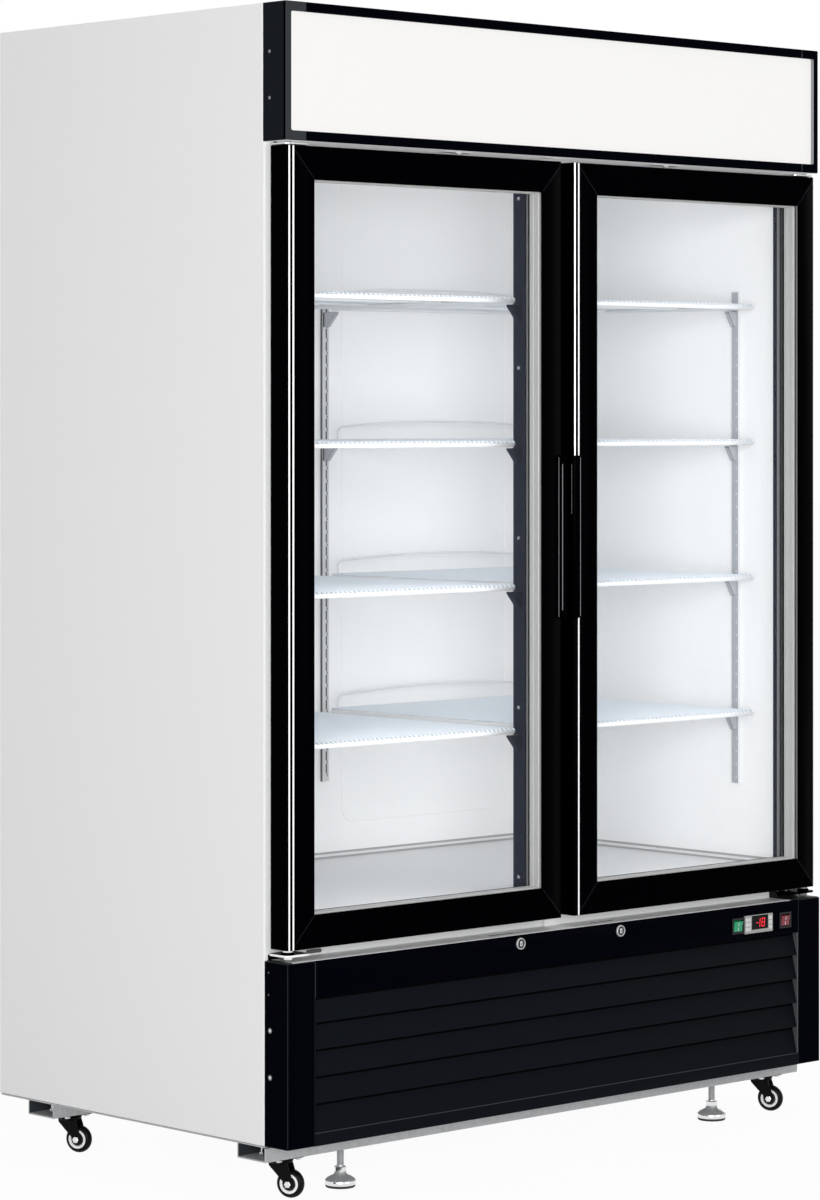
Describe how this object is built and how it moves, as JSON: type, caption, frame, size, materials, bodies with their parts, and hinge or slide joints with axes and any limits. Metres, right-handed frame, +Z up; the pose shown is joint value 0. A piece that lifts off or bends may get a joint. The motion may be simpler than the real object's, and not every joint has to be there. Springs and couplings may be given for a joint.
{
  "type": "glass door merchandiser",
  "caption": "Upright display freezer with glass doors under a lit canopy, wire shelves, a louvred lower fascia with display, switches and locks, on swivel casters and levelling feet.",
  "frame": {"origin": "on the floor under the middle of the cabinet", "axes": "+Z up, doors face -Y, +X to the right of someone facing the doors"},
  "size_m": [1.37, 0.8, 2.046],
  "materials": {
    "white_panel": "white painted steel skins on rigid foam, semi-gloss",
    "white_liner": "white painted sheet, semi-gloss",
    "floor_panel": "brushed stainless sheet on rigid foam",
    "light_frame": "satin light grey",
    "navy": "dark blue-black, satin",
    "satin_black": "satin black",
    "charcoal": "satin charcoal black",
    "opal_panel": "white translucent acrylic",
    "silver_plastic": "silver-grey moulding",
    "green_lens": "translucent green, lit",
    "red_lens": "translucent red, lit",
    "chrome": "bright chrome",
    "galvanised": "galvanised sheet",
    "black_shell": "black enamel",
    "black_plastic": "black moulding",
    "coil": "bare fin stock",
    "hinge_steel": "zinc-plated steel",
    "pilaster_zinc": "zinc-plated steel",
    "white_wire": "white plastic-coated wire",
    "gloss_black": "gloss black extrusion",
    "glass": "clear insulating glass",
    "gasket": "light grey magnetic gasket",
    "foot_chrome": "chromed pad and stud",
    "caster_black": "black pressed steel",
    "caster_tyre": "black wheel"
  },
  "bodies": {
    "cabinet": {"side_wall_left": "white_panel", "side_wall_right": "white_panel", "back_wall": "white_panel", "roof_wall": "white_panel", "ceiling_panel": "white_liner", "floor_slab": "floor_panel", "front_frame": "light_frame", "centre_mullion": "navy", "canopy_frame": "satin_black", "fascia_column_left": "satin_black", "fascia_column_right": "satin_black", "grille_panel": "charcoal", "sign_panel": "opal_panel", "controller": "silver_plastic", "chassis_rail_front": "galvanised", "chassis_rail_rear": "galvanised", "base_pan": "galvanised", "compressor": "black_shell", "condenser": "coil", "evaporator": "coil", "hinge_bottom_left": "hinge_steel", "hinge_bottom_right": "hinge_steel", "pilaster_front_left": "pilaster_zinc", "pilaster_front_right": "pilaster_zinc", "pilaster_rear_left": "pilaster_zinc", "pilaster_rear_right": "pilaster_zinc", "pilaster_centre_left": "pilaster_zinc", "pilaster_centre_right": "pilaster_zinc", "shelf_left_1": "white_wire", "shelf_left_2": "white_wire", "shelf_left_3": "white_wire", "shelf_left_4": "white_wire", "shelf_right_1": "white_wire", "shelf_right_2": "white_wire", "shelf_right_3": "white_wire", "shelf_right_4": "white_wire"},
    "left_door": {"door_frame_left": "gloss_black", "glass_unit_left": "glass", "door_gasket_left": "gasket", "door_handle_left": "gloss_black"},
    "left_foot": {"levelling_foot_left": "foot_chrome"},
    "left_lock": {"lock_left": "chrome"},
    "front_left_caster": {"caster_fork_front_left": "caster_black"},
    "front_left_wheel": {"caster_wheel_front_left": "caster_tyre"},
    "rear_left_caster": {"caster_fork_rear_left": "caster_black"},
    "rear_left_wheel": {"caster_wheel_rear_left": "caster_tyre"},
    "right_door": {"door_frame_right": "gloss_black", "glass_unit_right": "glass", "door_gasket_right": "gasket", "door_handle_right": "gloss_black"},
    "right_foot": {"levelling_foot_right": "foot_chrome"},
    "right_lock": {"lock_right": "chrome"},
    "front_right_caster": {"caster_fork_front_right": "caster_black"},
    "front_right_wheel": {"caster_wheel_front_right": "caster_tyre"},
    "rear_right_caster": {"caster_fork_rear_right": "caster_black"},
    "rear_right_wheel": {"caster_wheel_rear_right": "caster_tyre"},
    "green_rocker": {"rocker_green": "green_lens"},
    "red_rocker": {"rocker_red": "red_lens"},
    "condenser_fan": {"condenser_fan": "black_plastic"},
    "evaporator_fan": {"evaporator_fan": "black_plastic"}
  },
  "joints": [
    {"name": "left_door_hinge", "type": "hinge", "parent": "cabinet", "child": "left_door", "pos_m": [-0.663, -0.372, 1.12], "axis": [0, 0, -1], "range_deg": [0, 95], "stiffness_Nm_per_rad": 1.2, "springref_deg": -14.32},
    {"name": "left_lock_turn", "type": "hinge", "parent": "cabinet", "child": "left_lock", "pos_m": [-0.129, -0.396, 0.4], "axis": [0, 1, 0], "range_deg": [0, 90]},
    {"name": "left_foot_screw", "type": "slide", "parent": "cabinet", "child": "left_foot", "axis": [0, 0, 1], "range_m": [-0.01, 0.015]},
    {"name": "front_left_swivel", "type": "hinge", "parent": "cabinet", "child": "front_left_caster", "pos_m": [-0.619, -0.3025, 0.0648], "axis": [0, 0, 1], "continuous": true},
    {"name": "front_left_axle", "type": "hinge", "parent": "front_left_caster", "child": "front_left_wheel", "pos_m": [-0.61055, -0.32063, 0.0258], "axis": [0.9063, 0.4226, 0], "continuous": true},
    {"name": "rear_left_swivel", "type": "hinge", "parent": "cabinet", "child": "rear_left_caster", "pos_m": [-0.619, 0.2785, 0.064], "axis": [0, 0, 1], "continuous": true},
    {"name": "rear_left_axle", "type": "hinge", "parent": "rear_left_caster", "child": "rear_left_wheel", "pos_m": [-0.61055, 0.26037, 0.025], "axis": [0.9063, 0.4226, 0], "continuous": true},
    {"name": "right_door_hinge", "type": "hinge", "parent": "cabinet", "child": "right_door", "pos_m": [0.663, -0.372, 1.12], "axis": [0, 0, 1], "range_deg": [0, 95], "stiffness_Nm_per_rad": 1.2, "springref_deg": -14.32},
    {"name": "right_lock_turn", "type": "hinge", "parent": "cabinet", "child": "right_lock", "pos_m": [0.129, -0.396, 0.4], "axis": [0, 1, 0], "range_deg": [0, 90]},
    {"name": "right_foot_screw", "type": "slide", "parent": "cabinet", "child": "right_foot", "axis": [0, 0, 1], "range_m": [-0.01, 0.015]},
    {"name": "front_right_swivel", "type": "hinge", "parent": "cabinet", "child": "front_right_caster", "pos_m": [0.619, -0.3025, 0.0648], "axis": [0, 0, 1], "continuous": true},
    {"name": "front_right_axle", "type": "hinge", "parent": "front_right_caster", "child": "front_right_wheel", "pos_m": [0.62745, -0.32063, 0.0258], "axis": [0.9063, 0.4226, 0], "continuous": true},
    {"name": "rear_right_swivel", "type": "hinge", "parent": "cabinet", "child": "rear_right_caster", "pos_m": [0.619, 0.2785, 0.064], "axis": [0, 0, 1], "continuous": true},
    {"name": "rear_right_axle", "type": "hinge", "parent": "rear_right_caster", "child": "rear_right_wheel", "pos_m": [0.62745, 0.26037, 0.025], "axis": [0.9063, 0.4226, 0], "continuous": true},
    {"name": "green_rocker_tilt", "type": "hinge", "parent": "cabinet", "child": "green_rocker", "pos_m": [0.45, -0.391, 0.38], "axis": [1, 0, 0], "range_deg": [-16, 0]},
    {"name": "red_rocker_tilt", "type": "hinge", "parent": "cabinet", "child": "red_rocker", "pos_m": [0.584, -0.391, 0.38], "axis": [1, 0, 0], "range_deg": [-16, 0]},
    {"name": "condenser_fan_spin", "type": "hinge", "parent": "cabinet", "child": "condenser_fan", "pos_m": [-0.31, -0.194, 0.255], "axis": [0, 1, 0], "continuous": true},
    {"name": "evaporator_fan_spin", "type": "hinge", "parent": "cabinet", "child": "evaporator_fan", "pos_m": [0, -0.096, 1.836], "axis": [0, 0, 1], "continuous": true}
  ]
}
